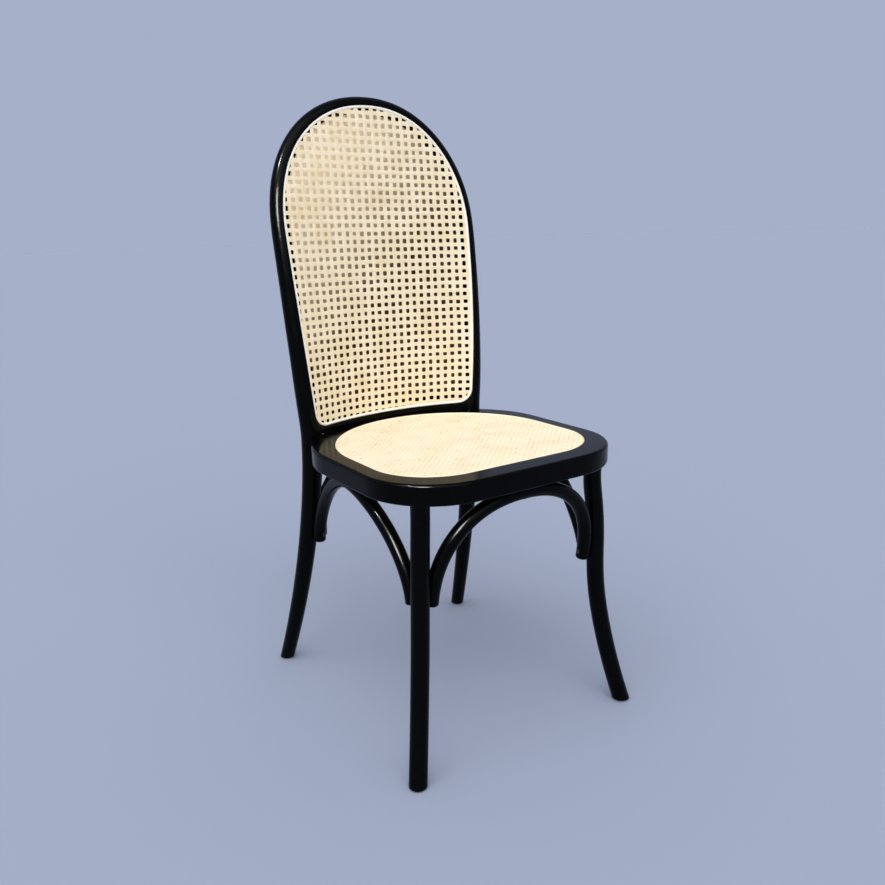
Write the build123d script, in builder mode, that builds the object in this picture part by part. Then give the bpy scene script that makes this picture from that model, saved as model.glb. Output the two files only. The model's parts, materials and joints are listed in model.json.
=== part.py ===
from build123d import *
import math
import os

os.makedirs("parts", exist_ok=True)

# Bentwood dining chair with a woven cane seat and a double cane back. Lengths are in millimetres.
# The chair faces -Y, +X is on the right as seen from the front, and Z = 0 is the floor.
# The origin lies under the middle of the chair's footprint.

# Seat ring, in plan, from the seat's centre
seat_height = 460
seat_thickness = 32
seat_half_width = 213.5
seat_front_reach = 210
seat_front_bow = 5.5
seat_front_corner_radius = 118
seat_rear_room = 21
seat_rear_offset = 5
seat_side_blend_radius = 160
seat_edge_radius = 5
seat_under_edge_radius = 4

# Caned opening of the seat
ring_side_width = 26.5
ring_front_width = 37.5
opening_corner_radius = 100
opening_rear_offset = 7
seat_lip_width = 15

# Cane sheets and the splines that hold their edges
seat_cane_thickness = 2.2
seat_cane_sink = 0.6
seat_spline_width = 4.5
seat_spline_depth = 5.5
back_cane_thickness = 2.4
back_spline_width = 5
back_skin_sink = 1.2

# Back hoop: radius of the rod at the foot, seat, shoulders and top, and its centre line from the front
foot_radius = 13
knee_radius = 18
shoulder_radius = 14.9
top_radius = 13.2
hoop_top_height = 988
hoop_arch_rise = 198
post_inset = 47.5
shoulder_flare = 14.2
hoop_side_bulge = 2.9
arch_fullness = 2.14

# Back surface that runs through the middle of the rod
back_seat_lap = 9.1
back_plan_radius = 364
back_lean = 25.7
back_lean_power = 2.5
back_flatten_power = 1.3
back_flat_share = 0.02

# Bottom rail of the back, just above the seat ring
rail_seat_gap = 0.5
rail_face_height = 10.7
rail_lap = 14

# How far the edges of the front and the rear cane sheet lie inside the hoop's centre line
sheet_top_inset = 0.5
sheet_corner_radius = 27
front_sheet_low_inset = 4.6
front_sheet_high_inset = 1
rear_sheet_high_inset = 1
sheet_side_bulge = 2.9

# Rear legs, which carry on below the posts
rear_leg_setback = 111.2
rear_leg_splay = 35.1
flare_power = 1.6

# Front legs
front_leg_radius = 14.2
front_leg_inset = 48
front_leg_setback = 50
front_leg_lean = 16.4
front_foot_splay = 26.8
front_foot_advance = 35.3
front_knee_height = 236
tenon_radius = 10
tenon_length = 22
wedge_width = 14
wedge_length = 16
wedge_head = 3
wedge_tip = 1

# Bent braces under the seat
brace_radius = 11.3
brace_drop = 162
brace_seat_flat = 0.5
brace_bite = 1.5
brace_end_rounding = 3
side_brace_inset = 6

# Turn of a brace's end round its leg, in degrees: front brace, side brace in front and behind
front_brace_turn = 15
side_brace_front_turn = 6
side_brace_rear_turn = 27

# How square a brace's arch is: powers of its width, height and lean
cross_brace_powers = (0.89, 0.85, 0.87)
side_brace_powers = (1.23, 1.26, 3)

# Screws, bolts, dowels and glides
screw_shank_radius = 2.2
screw_head_radius = 4.4
screw_head_height = 3
screw_sink = 0.5
leg_screw_length = 34
seat_screw_length = 40
leg_screw_rise = 13
drive_recess_radius = 1.6
drive_recess_depth = 2
bolt_radius = 3
bolt_length = 52
bolt_head_radius = 5.2
bolt_head_height = 4
bolt_socket_width = 4
bolt_socket_depth = 2.5
washer_radius = 6.5
washer_thickness = 1.2
bolt_cap_space = 1.5
insert_radius = 5
insert_length = 18
dowel_radius = 4
dowel_length = 34
dowel_spacing = 13
glide_radius = 10
glide_thickness = 3
glide_edge = 0.8
nail_radius = 1.3
nail_head_radius = 3
nail_head_height = 1
nail_sink = 0.8
nail_length = 14
fit_gap = 0.3

# How finely the bent rods are lofted
leg_steps = 7
post_steps = 6
arch_steps = 16
brace_steps = 16
surface_steps = 7

overrun = 40

# Places worked out from the sizes above
seat_bottom = seat_height - seat_thickness
seat_rear_radius = seat_half_width + seat_rear_room
seat_rear_reach = seat_rear_radius - seat_rear_offset
opening_half_width = seat_half_width - ring_side_width
opening_front_reach = seat_front_reach - ring_front_width
opening_rear_reach = opening_rear_offset + opening_half_width
post_half_spread = seat_half_width - post_inset
shoulder_half_spread = post_half_spread + shoulder_flare
shoulder_height = hoop_top_height - hoop_arch_rise
back_mid_reach = seat_rear_reach - back_seat_lap
rail_bottom_height = seat_height + rail_seat_gap
sheet_bottom_height = rail_bottom_height + rail_face_height
sheet_top_height = hoop_top_height - sheet_top_inset
front_sheet_half_width = post_half_spread - front_sheet_low_inset
front_sheet_shoulder_width = shoulder_half_spread - front_sheet_high_inset
rear_sheet_half_width = post_half_spread
rear_sheet_shoulder_width = shoulder_half_spread - rear_sheet_high_inset
front_leg_x = seat_half_width - front_leg_inset
front_leg_reach = seat_front_reach - front_leg_setback
brace_end_height = seat_bottom - brace_drop
brace_rise = seat_bottom - brace_radius + brace_seat_flat - brace_end_height
leg_screw_height = brace_end_height + leg_screw_rise
rear_foot_slope = flare_power * rear_leg_setback / seat_height
post_reach = back_mid_reach - back_plan_radius + math.sqrt(back_plan_radius**2 - post_half_spread**2)
rear_foot_reach = post_reach + rear_leg_setback + foot_radius * math.sqrt(1 + rear_foot_slope**2)
seat_y = (seat_front_reach - rear_foot_reach) / 2


def flare(height, knee_height):
    """Share of a foot's offset that a leg has reached at this height."""
    return (max(knee_height - height, 0) / knee_height) ** flare_power


def hoop_radius(height):
    """Radius of the tapered hoop rod at a height."""
    stations = [
        (0, foot_radius),
        (seat_height, knee_radius),
        (shoulder_height, shoulder_radius),
        (hoop_top_height, top_radius),
    ]
    for (low, low_radius), (high, high_radius) in zip(stations, stations[1:]):
        if height <= high:
            share = (height - low) / (high - low)
            return low_radius + (high_radius - low_radius) * share
    return top_radius


def back_rise(height):
    """Height above the seat as a share of the back's height."""
    return max(height - seat_height, 0) / (hoop_top_height - seat_height)


def back_y(x, height):
    """Y of the back's middle surface, which is bowed in plan and flattens towards its top."""
    middle = seat_y + back_mid_reach + back_lean * back_rise(height) ** back_lean_power
    bend = max(1 - back_rise(height) ** back_flatten_power, back_flat_share)
    plan_radius = back_plan_radius / bend
    return middle - plan_radius + math.sqrt(plan_radius**2 - x**2)


def side_x(height, low, high, low_width, high_width, bulge):
    """Half width of a gently bulging side between two heights."""
    share = (height - low) / (high - low)
    return low_width + (high_width - low_width) * share + 4 * bulge * share * (1 - share)


def full_arch(angle, half_width, rise):
    """Point of the back's rounded top, a little fuller than an ellipse, above its shoulders."""
    power = 2 / arch_fullness
    across = math.copysign(abs(math.cos(angle)) ** power, math.cos(angle))
    return half_width * across, rise * math.sin(angle) ** power


def front_leg_center(side, height):
    """Centre line of a front leg; side is -1 or 1."""
    lean = front_leg_lean * (seat_bottom - height) / seat_bottom
    bend = flare(height, front_knee_height)
    return Vector(
        side * (front_leg_x + lean + front_foot_splay * bend),
        seat_y - front_leg_reach - front_foot_advance * bend,
        height,
    )


def rear_leg_center(side, height):
    """Centre line of a rear leg, below the seat; side is -1 or 1."""
    bend = flare(height, seat_height)
    return Vector(
        side * (post_half_spread + rear_leg_splay * bend),
        seat_y + post_reach + rear_leg_setback * bend,
        height,
    )


def tube(points, radii, across, joins=(), end_rounding=0):
    """Round rod lofted through the points.

    across is a direction square to the run, and joins are the points where one loft meets the next."""
    last = len(points) - 1
    sections = []
    for index, (point, radius) in enumerate(zip(points, radii)):
        ahead = points[min(index + 1, last)] - points[max(index - 1, 0)]
        with BuildSketch(Plane(point, x_dir=across, z_dir=ahead)) as section:
            Circle(radius)
        sections.append(section.sketch)
    with BuildPart() as rod:
        for start, end in zip((0, *joins), (*joins, last)):
            loft(sections[start : end + 1])
        if end_rounding:
            ends = rod.faces().filter_by(GeomType.PLANE)
            fillet(ends.edges(), end_rounding)
    return rod.part


def back_slab(front_shift, rear_shift):
    """Thin slab that follows the back's middle surface, between two shifts in Y.

    A shift is a pair: a share of the rod's radius and a length added to it."""
    low = rail_bottom_height - overrun
    high = hoop_top_height + overrun
    half_width = shoulder_half_spread + overrun / 2
    with BuildPart() as slab:
        for step in range(surface_steps + 1):
            height = low + (high - low) * step / surface_steps
            radius = hoop_radius(height)
            front = front_shift[0] * radius + front_shift[1]
            rear = rear_shift[0] * radius + rear_shift[1]
            edge = back_y(half_width, height)
            middle = back_y(0, height)
            with BuildSketch(Plane.XY.offset(height)):
                with BuildLine():
                    near = ThreePointArc(
                        (-half_width, edge + front),
                        (0, middle + front),
                        (half_width, edge + front),
                    )
                    far = ThreePointArc(
                        (half_width, edge + rear),
                        (0, middle + rear),
                        (-half_width, edge + rear),
                    )
                    Line(near @ 1, far @ 0)
                    Line(far @ 1, near @ 0)
                make_face()
        loft()
    return slab.part


def sheet_outline(low_width, high_width, inset):
    """Outline of a back cane sheet as a face: straight foot, bulging sides and round top."""
    low = sheet_bottom_height + inset
    high = shoulder_height
    middle = (low + high) / 2
    half_low = low_width - inset
    half_high = high_width - inset
    half_middle = side_x(middle, low, high, half_low, half_high, sheet_side_bulge)
    rise = sheet_top_height - inset - shoulder_height
    angles = [math.pi * step / arch_steps for step in range(arch_steps + 1)]
    crown = []
    for angle in angles:
        x, z = full_arch(angle, half_high, rise)
        crown.append((x, shoulder_height + z))
    with BuildSketch(Plane.XZ) as outline:
        with BuildLine():
            Line((-half_low, low), (half_low, low))
            ThreePointArc((half_low, low), (half_middle, middle), (half_high, high))
            Spline(*crown)
            ThreePointArc((-half_high, high), (-half_middle, middle), (-half_low, low))
        make_face()
        fillet(outline.vertices().group_by(Axis.Z)[0], sheet_corner_radius - inset)
    return outline.sketch


def sheet_prism(low_width, high_width, inset):
    """Block as deep as the chair with a cane sheet's outline."""
    outline = sheet_outline(low_width, high_width, inset)
    with BuildPart() as prism:
        extrude(outline, amount=rear_foot_reach, both=True)
    return prism.part


def brace_point(brace_line, angle):
    """Point of a brace's centre line, an inverted U: angle runs from 0 at one end to pi at the other.

    brace_line holds both ends, how far the top leans out, and the powers that make the arch square."""
    first, second, bow, (width_power, height_power, lean_power) = brace_line
    swing = math.copysign(abs(math.cos(angle)) ** width_power, math.cos(angle))
    rise = abs(math.sin(angle))
    base = first + (second - first) * (1 - swing) / 2
    return base + bow * rise**lean_power + Vector(0, 0, brace_rise * rise**height_power)


def screw_body(plane, length, spare, above):
    """Turned shape of a countersunk wood screw, or of its hole when it gets some spare room.

    The head lies on the plane and the shank runs against its normal; above is room over the head."""
    head = screw_head_radius + spare
    shank = screw_shank_radius + spare
    tip = -length - spare
    with BuildPart() as body:
        with BuildSketch(Plane(plane.origin, x_dir=plane.x_dir, z_dir=-plane.y_dir)):
            with BuildLine():
                if above:
                    Line((head, above), (head, 0))
                Polyline((head, 0), (shank, -screw_head_height), (shank, tip + shank), (0, tip), (0, above))
                Line((0, above), (head, above))
            make_face()
        revolve(axis=Axis(plane.origin, plane.z_dir))
    return body.part


def screw(plane, length):
    """Countersunk wood screw with a crossed drive."""
    with BuildPart() as wood_screw:
        add(screw_body(plane, length, 0, 0))
        with BuildSketch(plane):
            Rectangle(2 * drive_recess_radius, drive_recess_radius / 2)
            Rectangle(drive_recess_radius / 2, 2 * drive_recess_radius)
        extrude(amount=-drive_recess_depth, mode=Mode.SUBTRACT)
    return wood_screw.part


def screw_holes(planes, length):
    """Countersunk holes for wood screws, open above their heads."""
    return [screw_body(plane, length, fit_gap, brace_radius / 2) for plane in planes]


# Braces end against the legs' inner sides, a little bitten into them
front_brace_reach = front_leg_radius + brace_radius - brace_bite
rear_brace_reach = hoop_radius(brace_end_height) + brace_radius - brace_bite


def beside(leg, side, reach, direction):
    """Point at a brace's end height beside a leg.

    direction is in degrees, from 0 straight towards the chair's middle to 90 straight back."""
    turn = math.radians(direction)
    return leg(side, brace_end_height) + Vector(-side * math.cos(turn), math.sin(turn), 0) * reach


# Each brace's top leans over until it lies under the seat ring
ring_front_y = seat_y - (seat_front_reach + opening_front_reach - seat_lip_width) / 2
ring_side_x = opening_half_width - side_brace_inset
ring_rear_y = seat_y + (seat_rear_reach + opening_rear_reach - seat_lip_width) / 2

quarter_turn = 90
brace_lines = {}
front_ends = [beside(front_leg_center, side, front_brace_reach, front_brace_turn) for side in (-1, 1)]
front_bow = Vector(0, ring_front_y - front_ends[0].Y, 0)
brace_lines["brace_front"] = (*front_ends, front_bow, cross_brace_powers)
rear_ends = [beside(rear_leg_center, side, rear_brace_reach, 0) for side in (-1, 1)]
rear_bow = Vector(0, ring_rear_y - rear_ends[0].Y, 0)
brace_lines["brace_rear"] = (*rear_ends, rear_bow, cross_brace_powers)
for side, name in ((-1, "brace_left"), (1, "brace_right")):
    turn = quarter_turn - side_brace_front_turn
    front_end = beside(front_leg_center, side, front_brace_reach, turn)
    turn = side_brace_rear_turn - quarter_turn
    rear_end = beside(rear_leg_center, side, rear_brace_reach, turn)
    side_bow = Vector(side * ring_side_x - (front_end.X + rear_end.X) / 2, 0, 0)
    brace_lines[name] = (front_end, rear_end, side_bow, side_brace_powers)

# Bolts point at the seat's centre, square to the ring
bolt_height = seat_height - seat_thickness / 2


def post_plane(side):
    """Plane square to a post's bolt, at the post's centre, facing away from the seat."""
    center = rear_leg_center(side, bolt_height)
    return Plane(center, x_dir=(0, 0, 1), z_dir=(center.X, center.Y - seat_y, 0))


# Back hoop: foot, rear leg, post and arch in one bent rod
hoop_right = []
for step in range(leg_steps + 1):
    hoop_right.append(rear_leg_center(1, seat_height * (step - 1) / leg_steps))
for step in range(post_steps):
    height = seat_height + (shoulder_height - seat_height) * step / post_steps
    widths = (post_half_spread, shoulder_half_spread, hoop_side_bulge)
    width = side_x(height, seat_height, shoulder_height, *widths)
    hoop_right.append(Vector(width, back_y(width, height), height))
hoop_crown = []
for step in range(arch_steps + 1):
    angle = math.pi * step / arch_steps
    x, rise = full_arch(angle, shoulder_half_spread, hoop_top_height - shoulder_height)
    hoop_crown.append(Vector(x, back_y(x, shoulder_height + rise), shoulder_height + rise))
hoop_left = [Vector(-point.X, point.Y, point.Z) for point in reversed(hoop_right)]
hoop_points = hoop_right + hoop_crown + hoop_left
hoop_last = len(hoop_points) - 1
hoop_joins = (leg_steps + 1, hoop_last // 2, hoop_last - leg_steps - 1)
hoop_radii = [hoop_radius(point.Z) for point in hoop_points]
space_radii = [radius + fit_gap for radius in hoop_radii]
hoop_rod = tube(hoop_points, hoop_radii, (0, 1, 0), hoop_joins)
hoop_space = tube(hoop_points, space_radii, (0, 1, 0), hoop_joins)

# Faces of each cane sheet and its spline, as shifts from the back's middle surface
face_depth = back_skin_sink
cane_depth = face_depth + back_cane_thickness
sheets = {
    "front": (front_sheet_half_width, front_sheet_shoulder_width, -1),
    "rear": (rear_sheet_half_width, rear_sheet_shoulder_width, 1),
}


def skin_slab(facing, near, deep):
    """Slab between two depths under the back's front skin (facing -1) or rear skin (facing 1)."""
    if facing < 0:
        return back_slab((-1, near), (-1, deep))
    return back_slab((1, -deep), (1, -near))


cane_sheets = {}
splines = {}
pockets = {}
for place, (low_width, high_width, facing) in sheets.items():
    with BuildPart() as cane:
        add(sheet_prism(low_width, high_width, back_spline_width + fit_gap))
        add(skin_slab(facing, face_depth, cane_depth), mode=Mode.INTERSECT)
    cane.part.label = f"back_cane_{place}"
    cane_sheets[place] = cane.part

    with BuildPart() as spline:
        add(sheet_prism(low_width, high_width, fit_gap))
        add(skin_slab(facing, face_depth, cane_depth), mode=Mode.INTERSECT)
        add(sheet_prism(low_width, high_width, back_spline_width), mode=Mode.SUBTRACT)
    spline.part.label = f"back_spline_{place}"
    splines[place] = spline.part

    with BuildPart() as pocket:
        add(sheet_prism(low_width, high_width, 0))
        add(skin_slab(facing, -overrun, cane_depth + fit_gap), mode=Mode.INTERSECT)
    pockets[place] = pocket.part

# Dowels run from each post into the bottom rail, along the bend of the back
dowel_planes = []
dowel_slope = math.atan2(post_half_spread, math.sqrt(back_plan_radius**2 - post_half_spread**2))
rail_middle_height = rail_bottom_height + dowel_spacing
for side in (-1, 1):
    inward = (-side * math.cos(dowel_slope), math.sin(dowel_slope), 0)
    for offset in (-dowel_spacing / 2, dowel_spacing / 2):
        height = rail_middle_height + offset
        center = Vector(side * post_half_spread, back_y(post_half_spread, height), height)
        dowel_planes.append(Plane(center, x_dir=(0, 0, 1), z_dir=inward))

with BuildPart() as rail_dowels:
    for plane in dowel_planes:
        with BuildSketch(plane):
            Circle(dowel_radius)
        extrude(amount=dowel_length)
rail_dowels.part.label = "rail_dowels"

with BuildPart() as dowel_holes:
    for plane in dowel_planes:
        with BuildSketch(plane.offset(-fit_gap)):
            Circle(dowel_radius + fit_gap)
        extrude(amount=dowel_length + 2 * fit_gap)

# Glides and feet
leg_feet = {
    "front_left": front_leg_center(-1, 0),
    "front_right": front_leg_center(1, 0),
    "rear_left": rear_leg_center(-1, 0),
    "rear_right": rear_leg_center(1, 0),
}

# Screws through each brace's ends into the legs, and through its top into the seat ring
brace_legs = {
    "brace_front": ((front_leg_center, -1), (front_leg_center, 1)),
    "brace_rear": ((rear_leg_center, -1), (rear_leg_center, 1)),
    "brace_left": ((front_leg_center, -1), (rear_leg_center, -1)),
    "brace_right": ((front_leg_center, 1), (rear_leg_center, 1)),
}
leg_screw_planes = []
seat_screw_planes = []
for name, line in brace_lines.items():
    height_power = line[-1][1]
    screw_angle = math.asin((leg_screw_rise / brace_rise) ** (1 / height_power))
    for (leg, side), angle in zip(brace_legs[name], (screw_angle, math.pi - screw_angle)):
        center = brace_point(line, angle)
        outward = (center - leg(side, leg_screw_height)).normalized()
        head = center + outward * (brace_radius - screw_sink)
        leg_screw_planes.append(Plane(head, x_dir=(0, 0, 1), z_dir=outward))
    head = brace_point(line, math.pi / 2) - Vector(0, 0, brace_radius - screw_sink)
    seat_screw_planes.append(Plane(head, x_dir=(1, 0, 0), z_dir=(0, 0, -1)))

with BuildPart() as brace_leg_screws:
    for plane in leg_screw_planes:
        add(screw(plane, leg_screw_length))
brace_leg_screws.part.label = "brace_leg_screws"

with BuildPart() as brace_seat_screws:
    for plane in seat_screw_planes:
        add(screw(plane, seat_screw_length))
brace_seat_screws.part.label = "brace_seat_screws"


leg_screw_holes = screw_holes(leg_screw_planes, leg_screw_length)
seat_screw_holes = screw_holes(seat_screw_planes, seat_screw_length)


# Bolts, washers and threaded inserts between the posts and the seat ring
bolt_seat_reach = knee_radius - bolt_cap_space - bolt_head_height - washer_thickness
insert_reach = knee_radius + 2 * fit_gap
insert_start = insert_reach + insert_length
with BuildPart() as post_bolts:
    for side in (-1, 1):
        seat_plane = post_plane(side).offset(bolt_seat_reach + washer_thickness)
        with BuildSketch(seat_plane):
            Circle(bolt_head_radius)
        extrude(amount=bolt_head_height)
        with BuildSketch(seat_plane):
            Circle(bolt_radius)
        extrude(amount=-bolt_length)
        with BuildSketch(seat_plane.offset(bolt_head_height)):
            RegularPolygon(bolt_socket_width / 2, 6, major_radius=False)
        extrude(amount=-bolt_socket_depth, mode=Mode.SUBTRACT)
post_bolts.part.label = "post_bolts"

with BuildPart() as post_washers:
    for side in (-1, 1):
        with BuildSketch(post_plane(side).offset(bolt_seat_reach)):
            Circle(washer_radius)
            Circle(bolt_radius + fit_gap, mode=Mode.SUBTRACT)
        extrude(amount=washer_thickness)
post_washers.part.label = "post_washers"

with BuildPart() as post_inserts:
    for side in (-1, 1):
        with BuildSketch(post_plane(side).offset(-insert_start)):
            Circle(insert_radius)
            Circle(bolt_radius + fit_gap, mode=Mode.SUBTRACT)
        extrude(amount=insert_length)
post_inserts.part.label = "post_inserts"


def glide_nail_holes():
    """Holes for the glide nails in the feet."""
    for foot in leg_feet.values():
        with Locations(Plane((foot.X, foot.Y, nail_sink), z_dir=(0, 0, -1))):
            Hole(nail_radius + fit_gap, depth=nail_length + fit_gap)


# Back hoop, cut for the cane, the dowels, the bolts and the screws
with BuildPart() as back_hoop:
    add(hoop_rod)
    split(bisect_by=Plane.XY.offset(glide_thickness), keep=Keep.TOP)
    for place in sheets:
        add(pockets[place], mode=Mode.SUBTRACT)
    add(dowel_holes.part, mode=Mode.SUBTRACT)
    for side in (-1, 1):
        plane = post_plane(side).offset(bolt_seat_reach)
        with BuildSketch(plane):
            Circle(washer_radius + fit_gap)
        extrude(amount=knee_radius, mode=Mode.SUBTRACT)
        with BuildSketch(plane):
            Circle(bolt_radius + fit_gap)
        extrude(amount=-2 * knee_radius, mode=Mode.SUBTRACT)
    add(leg_screw_holes, mode=Mode.SUBTRACT)
    glide_nail_holes()
back_hoop.part.label = "back_hoop"

# Bottom rail of the back, with hollow corners that follow the cane's rounded corners
rail_slab = back_slab((-1, 0), (1, 0))
rail_height = sheet_bottom_height + sheet_corner_radius - rail_bottom_height
rail_opening = sheet_prism(front_sheet_half_width, front_sheet_shoulder_width, rail_lap)
with BuildPart() as back_bottom_rail:
    with BuildSketch(Plane.XZ):
        with Locations((0, rail_bottom_height + rail_height / 2)):
            Rectangle(2 * post_half_spread, rail_height)
    extrude(amount=rear_foot_reach, both=True)
    add(rail_slab, mode=Mode.INTERSECT)
    add(rail_opening, mode=Mode.SUBTRACT)
    add(hoop_space, mode=Mode.SUBTRACT)
    for place in sheets:
        add(pockets[place], mode=Mode.SUBTRACT)
    add(dowel_holes.part, mode=Mode.SUBTRACT)
back_bottom_rail.part.label = "back_bottom_rail"


def seat_plan(inset):
    """Seat ring's outer outline in plan: bowed front, round front corners and a round rear."""
    half_width = seat_half_width - inset
    front = -seat_front_reach + inset
    rear_radius = seat_rear_radius - inset
    rear_corner_y = -seat_rear_offset + math.sqrt(rear_radius**2 - half_width**2)
    with BuildSketch(Plane((0, seat_y, seat_bottom))) as plan:
        with BuildLine():
            near = ThreePointArc(
                (-half_width, front + seat_front_bow),
                (0, front),
                (half_width, front + seat_front_bow),
            )
            far = ThreePointArc(
                (half_width, rear_corner_y),
                (0, seat_rear_reach - inset),
                (-half_width, rear_corner_y),
            )
            Line(near @ 1, far @ 0)
            Line(far @ 1, near @ 0)
        make_face()
        corners = plan.vertices().sort_by(Axis.Y)
        fillet(corners[:2], seat_front_corner_radius - inset)
        corners = plan.vertices().filter_by(lambda corner: abs(corner.Y - rear_corner_y) < seat_edge_radius)
        fillet(corners, seat_side_blend_radius - inset)
    return plan.sketch


def opening_plan(inset, height):
    """Caned opening's outline in plan: a half circle behind, straight sides and round front corners."""
    half_width = opening_half_width - inset
    front = -opening_front_reach + inset
    with BuildSketch(Plane((0, seat_y, height))) as plan:
        with BuildLine():
            Line((-half_width, front), (half_width, front))
            Line((half_width, front), (half_width, opening_rear_offset))
            ThreePointArc(
                (half_width, opening_rear_offset),
                (0, opening_rear_offset + half_width),
                (-half_width, opening_rear_offset),
            )
            Line((-half_width, opening_rear_offset), (-half_width, front))
        make_face()
        fillet(plan.vertices().sort_by(Axis.Y)[:2], opening_corner_radius - inset)
    return plan.sketch


seat_cane_top = seat_height - seat_cane_sink
seat_cane_bottom = seat_cane_top - seat_cane_thickness
seat_spline_bottom = seat_height - seat_spline_depth

# Seat ring, rebated for the cane and grooved for its spline
with BuildPart() as seat_frame:
    extrude(seat_plan(0), amount=seat_thickness)
    fillet(seat_frame.edges().group_by(Axis.Z)[-1], seat_edge_radius)
    fillet(seat_frame.edges().group_by(Axis.Z)[0], seat_under_edge_radius)
    extrude(opening_plan(0, seat_spline_bottom), amount=seat_thickness, mode=Mode.SUBTRACT)
    extrude(
        opening_plan(seat_spline_width + fit_gap, seat_spline_bottom),
        amount=seat_cane_bottom - seat_spline_bottom,
    )
    extrude(opening_plan(seat_lip_width, seat_bottom), amount=seat_thickness, mode=Mode.SUBTRACT)
    add(hoop_space, mode=Mode.SUBTRACT)
    for side in (-1, 1):
        center = front_leg_center(side, seat_bottom)
        with Locations(Plane(center, z_dir=(0, 0, -1))):
            Hole(tenon_radius + fit_gap, depth=tenon_length)
        with BuildSketch(post_plane(side)):
            Circle(bolt_radius + fit_gap)
        extrude(amount=-bolt_length, mode=Mode.SUBTRACT)
        with BuildSketch(post_plane(side).offset(-insert_start)):
            Circle(insert_radius + fit_gap)
        extrude(amount=insert_start, mode=Mode.SUBTRACT)
    add(seat_screw_holes, mode=Mode.SUBTRACT)
seat_frame.part.label = "seat_frame"

with BuildPart() as seat_cane:
    extrude(opening_plan(seat_spline_width + fit_gap, seat_cane_bottom), amount=seat_cane_thickness)
seat_cane.part.label = "seat_cane"

with BuildPart() as seat_spline:
    extrude(opening_plan(fit_gap, seat_spline_bottom), amount=seat_spline_depth)
    extrude(
        opening_plan(seat_spline_width, seat_spline_bottom),
        amount=seat_spline_depth,
        mode=Mode.SUBTRACT,
    )
seat_spline.part.label = "seat_spline"


def wedge_profile(side):
    """Outline of the wedge that spreads a front leg's tenon, its thick end on top."""
    center = front_leg_center(side, seat_bottom)
    top = seat_bottom + tenon_length
    with BuildSketch(Plane.XZ.offset(-center.Y)) as profile:
        with BuildLine():
            Polyline(
                (center.X - wedge_head / 2, top),
                (center.X + wedge_head / 2, top),
                (center.X + wedge_tip / 2, top - wedge_length),
                (center.X - wedge_tip / 2, top - wedge_length),
                close=True,
            )
        make_face()
    return profile.sketch


with BuildPart() as leg_wedges:
    for side in (-1, 1):
        extrude(wedge_profile(side), amount=wedge_width / 2, both=True)
leg_wedges.part.label = "leg_wedges"


def front_leg_rod(side, radius):
    """Bent round rod of a front leg, from below the floor up to the seat ring."""
    heights = [-front_knee_height / leg_steps]
    heights += [front_knee_height * step / leg_steps for step in range(leg_steps + 1)]
    heights += [(front_knee_height + seat_bottom) / 2, seat_bottom]
    points = [front_leg_center(side, height) for height in heights]
    return tube(points, [radius] * len(points), (0, 1, 0))


def front_leg(side, name):
    """Bent round front leg with a wedged tenon on its top."""
    center = front_leg_center(side, seat_bottom)
    with BuildPart() as leg:
        add(front_leg_rod(side, front_leg_radius))
        split(bisect_by=Plane.XY.offset(seat_bottom), keep=Keep.BOTTOM)
        split(bisect_by=Plane.XY.offset(glide_thickness), keep=Keep.TOP)
        with BuildSketch(Plane((center.X, center.Y, seat_bottom))):
            Circle(tenon_radius)
        extrude(amount=tenon_length)
        add(leg_wedges.part, mode=Mode.SUBTRACT)
        add(leg_screw_holes, mode=Mode.SUBTRACT)
        glide_nail_holes()
    leg.part.label = name
    return leg.part


front_legs = {
    "front_leg_left": front_leg(-1, "front_leg_left"),
    "front_leg_right": front_leg(1, "front_leg_right"),
}


leg_spaces = [front_leg_rod(side, front_leg_radius + fit_gap) for side in (-1, 1)]


def brace(name, across, against):
    """Inverted U of bent rod, seated under the seat ring and cut by the legs it lies against."""
    angles = [math.pi * step / brace_steps for step in range(brace_steps + 1)]
    points = [brace_point(brace_lines[name], angle) for angle in angles]
    rod = tube(points, [brace_radius] * len(points), across, (brace_steps // 2,), brace_end_rounding)
    with BuildPart() as bent:
        add(rod)
        split(bisect_by=Plane.XY.offset(seat_bottom), keep=Keep.BOTTOM)
        add(against, mode=Mode.SUBTRACT)
        add(leg_screw_holes, mode=Mode.SUBTRACT)
        add(seat_screw_holes, mode=Mode.SUBTRACT)
    bent.part.label = name
    return bent.part


braces = {
    "brace_front": brace("brace_front", (0, 1, 0), leg_spaces),
    "brace_rear": brace("brace_rear", (0, 1, 0), [hoop_space]),
    "brace_left": brace("brace_left", (1, 0, 0), [leg_spaces[0], hoop_space]),
    "brace_right": brace("brace_right", (1, 0, 0), [leg_spaces[1], hoop_space]),
}

# Glides under the feet, each with its nail
glides = {}
for place, foot in leg_feet.items():
    with BuildPart() as glide:
        with BuildSketch(Plane((foot.X, foot.Y, 0))):
            Circle(glide_radius)
        extrude(amount=glide_thickness)
        chamfer(glide.edges().group_by(Axis.Z)[0], glide_edge)
        with Locations(Plane((foot.X, foot.Y, 0), z_dir=(0, 0, -1))):
            Hole(nail_head_radius + fit_gap, depth=nail_sink + nail_head_height)
            Hole(nail_radius + fit_gap, depth=glide_thickness)
    glide.part.label = f"glide_{place}"
    glides[f"glide_{place}"] = glide.part

with BuildPart() as glide_nails:
    for foot in leg_feet.values():
        with BuildSketch(Plane((foot.X, foot.Y, nail_sink))):
            Circle(nail_head_radius)
        extrude(amount=nail_head_height)
        with BuildSketch(Plane((foot.X, foot.Y, nail_sink))):
            Circle(nail_radius)
        extrude(amount=nail_length)
glide_nails.part.label = "glide_nails"

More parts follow.
